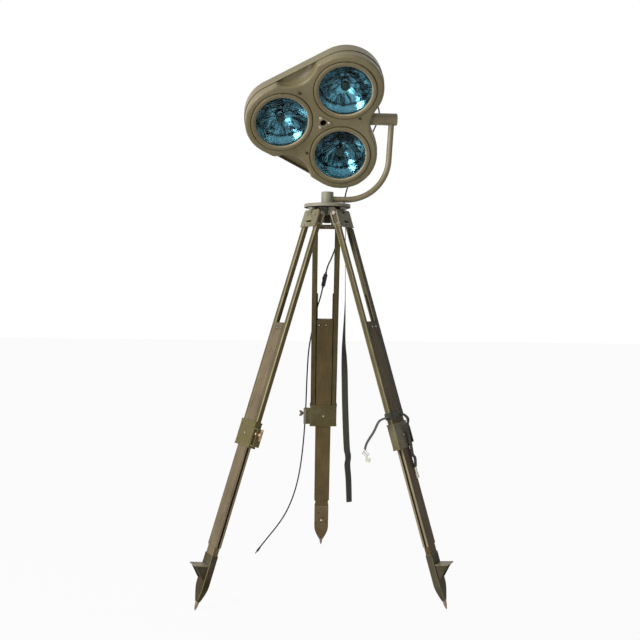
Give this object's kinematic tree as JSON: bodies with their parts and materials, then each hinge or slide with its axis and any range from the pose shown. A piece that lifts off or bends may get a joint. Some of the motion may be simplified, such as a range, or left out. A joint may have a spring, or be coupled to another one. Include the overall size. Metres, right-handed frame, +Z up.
{
  "type": "surgical_floor_lamp",
  "caption": "Olive field operating light: three-lobed lamp head with teal filter glasses on a bent yoke arm and wooden survey-type tripod, with cord and webbing",
  "frame": {"origin": "on the floor, under the vertical axis of the tripod head", "axes": "+Z up, along the tripod's vertical axis; the lamps face -Y and down; +X to the arm's side"},
  "size_m": [1.0272, 0.9083, 2.1039],
  "materials": {
    "olive_shell": "olive-drab stove enamel on pressed alloy sheet, satin, slightly dusty and worn at the edges",
    "grey_khaki": "grey-khaki enamel on castings, fine casting texture, chipped at corners",
    "olive_tube": "olive enamel on steel tube, satin, worn patches",
    "olive_collar": "darker olive enamel on sheet steel, scratched",
    "leg_wood": "ash painted olive brown, worn along the edges",
    "steel_fitting": "worn steel with traces of olive paint",
    "zinc_screw": "bright plated fasteners",
    "brass_trim": "worn brass",
    "teal_glass": "blue-green heat filter glass, glossy",
    "clear_glass": "clear bulb glass",
    "mirror_bowl": "polished parabolic bowl",
    "black_rubber": "matte black rubber",
    "lead_sheath": "dark rubber sheath",
    "switch_plastic": "dark moulded plastic",
    "webbing": "dark olive woven webbing"
  },
  "bodies": {
    "root": {"head_disc": "grey_khaki", "hinge_bolts": "steel_fitting", "spindle": "steel_fitting", "thrust_washer": "brass_trim", "hanging_strap": "webbing", "lead_lower": "lead_sheath", "lead_tail": "lead_sheath", "inline_switch": "switch_plastic", "lead_plug": "brass_trim"},
    "clamp_knob": {"clamp_knob": "steel_fitting"},
    "yoke": {"yoke_hub": "grey_khaki", "arm_tube": "olive_tube", "arm_sleeve": "olive_tube", "sleeve_cap": "zinc_screw", "friction_springs": "steel_fitting"},
    "lamp_head": {"rear_shell": "olive_shell", "front_cover": "olive_shell", "cover_gasket": "black_rubber", "retaining_ring_1": "olive_shell", "retaining_ring_2": "olive_shell", "retaining_ring_3": "olive_shell", "filter_glass_1": "teal_glass", "filter_glass_2": "teal_glass", "filter_glass_3": "teal_glass", "glass_gaskets": "black_rubber", "reflectors": "mirror_bowl", "bulbs": "clear_glass", "bulb_shields": "steel_fitting", "lampholders": "switch_plastic", "socket_flange": "olive_tube", "handle_socket": "steel_fitting", "face_screws": "zinc_screw", "tilt_boss": "grey_khaki", "tilt_shaft": "steel_fitting", "tilt_nut": "zinc_screw", "cable_gland": "black_rubber", "terminal_block": "switch_plastic", "lead_upper": "lead_sheath"},
    "upper_leg_rear": {"hinge_casting_rear": "grey_khaki", "leg_bars_rear": "leg_wood", "collar_rear": "olive_collar"},
    "lower_leg_rear": {"leg_board_rear": "leg_wood", "foot_shoe_rear": "olive_collar"},
    "wing_rear": {"wing_screw_rear": "steel_fitting"},
    "upper_leg_right": {"hinge_casting_right": "grey_khaki", "leg_bars_right": "leg_wood", "collar_right": "olive_collar", "leg_strap": "webbing", "strap_tails": "webbing", "strap_buckles": "steel_fitting"},
    "lower_leg_right": {"leg_board_right": "leg_wood", "foot_shoe_right": "olive_collar"},
    "wing_right": {"wing_screw_right": "steel_fitting"},
    "upper_leg_left": {"hinge_casting_left": "grey_khaki", "leg_bars_left": "leg_wood", "collar_left": "olive_collar"},
    "lower_leg_left": {"leg_board_left": "leg_wood", "foot_shoe_left": "olive_collar"},
    "wing_left": {"wing_screw_left": "steel_fitting"},
    "switch_slider": {"switch_slider": "switch_plastic"}
  },
  "joints": [
    {"name": "leg_spread_rear", "type": "hinge", "parent": "root", "child": "upper_leg_rear", "pos_m": [-0.00119, 0.05659, 1.48], "axis": [0.9998, 0.0209, 0], "range_deg": [-18, 0]},
    {"name": "leg_slide_rear", "type": "slide", "parent": "upper_leg_rear", "child": "lower_leg_rear", "axis": [0.0065, -0.3092, 0.951], "range_m": [-0.33, 0.35]},
    {"name": "wing_turn_rear", "type": "hinge", "parent": "upper_leg_rear", "child": "wing_rear", "pos_m": [-0.00689, 0.32904, 0.64221], "axis": [0.9998, 0.0209, 0], "range_deg": [-360, 0]},
    {"name": "leg_spread_right", "type": "hinge", "parent": "root", "child": "upper_leg_right", "pos_m": [0.0496, -0.02727, 1.48], "axis": [-0.4817, -0.8763, 0], "range_deg": [-17.4, 0], "deforming": ["hanging_strap"]},
    {"name": "leg_slide_right", "type": "slide", "parent": "upper_leg_right", "child": "lower_leg_right", "axis": [-0.2624, 0.1442, 0.9541], "range_m": [-0.33, 0.27]},
    {"name": "wing_turn_right", "type": "hinge", "parent": "upper_leg_right", "child": "wing_right", "pos_m": [0.28074, -0.15434, 0.63941], "axis": [-0.4817, -0.8763, 0], "range_deg": [-360, 0]},
    {"name": "leg_spread_left", "type": "hinge", "parent": "root", "child": "upper_leg_left", "pos_m": [-0.04841, -0.02932, 1.48], "axis": [-0.518, 0.8554, 0], "range_deg": [-18.6, 0]},
    {"name": "leg_slide_left", "type": "slide", "parent": "upper_leg_left", "child": "lower_leg_left", "axis": [0.2733, 0.1655, 0.9476], "range_m": [-0.33, 0.35]},
    {"name": "wing_turn_left", "type": "hinge", "parent": "upper_leg_left", "child": "wing_left", "pos_m": [-0.28917, -0.17513, 0.64517], "axis": [-0.518, 0.8554, 0], "range_deg": [-360, 0]},
    {"name": "clamp_turn", "type": "hinge", "parent": "root", "child": "clamp_knob", "pos_m": [0, 0, 1.458], "axis": [0, 0, 1], "range_deg": [0, 360]},
    {"name": "yoke_yaw", "type": "hinge", "parent": "root", "child": "yoke", "pos_m": [0, 0, 1.54], "axis": [0, 0, 1], "range_deg": [-175, 175], "deforming": ["lead_upper"]},
    {"name": "head_tilt", "type": "hinge", "parent": "yoke", "child": "lamp_head", "pos_m": [0, 0, 1.8562], "axis": [0.9964, 0.0851, 0], "range_deg": [-77, 52], "deforming": ["lead_upper"]},
    {"name": "switch_slide", "type": "slide", "parent": "root", "child": "switch_slider", "axis": [-0.1997, 0.2711, -0.9416], "range_m": [0, 0.006]}
  ]
}
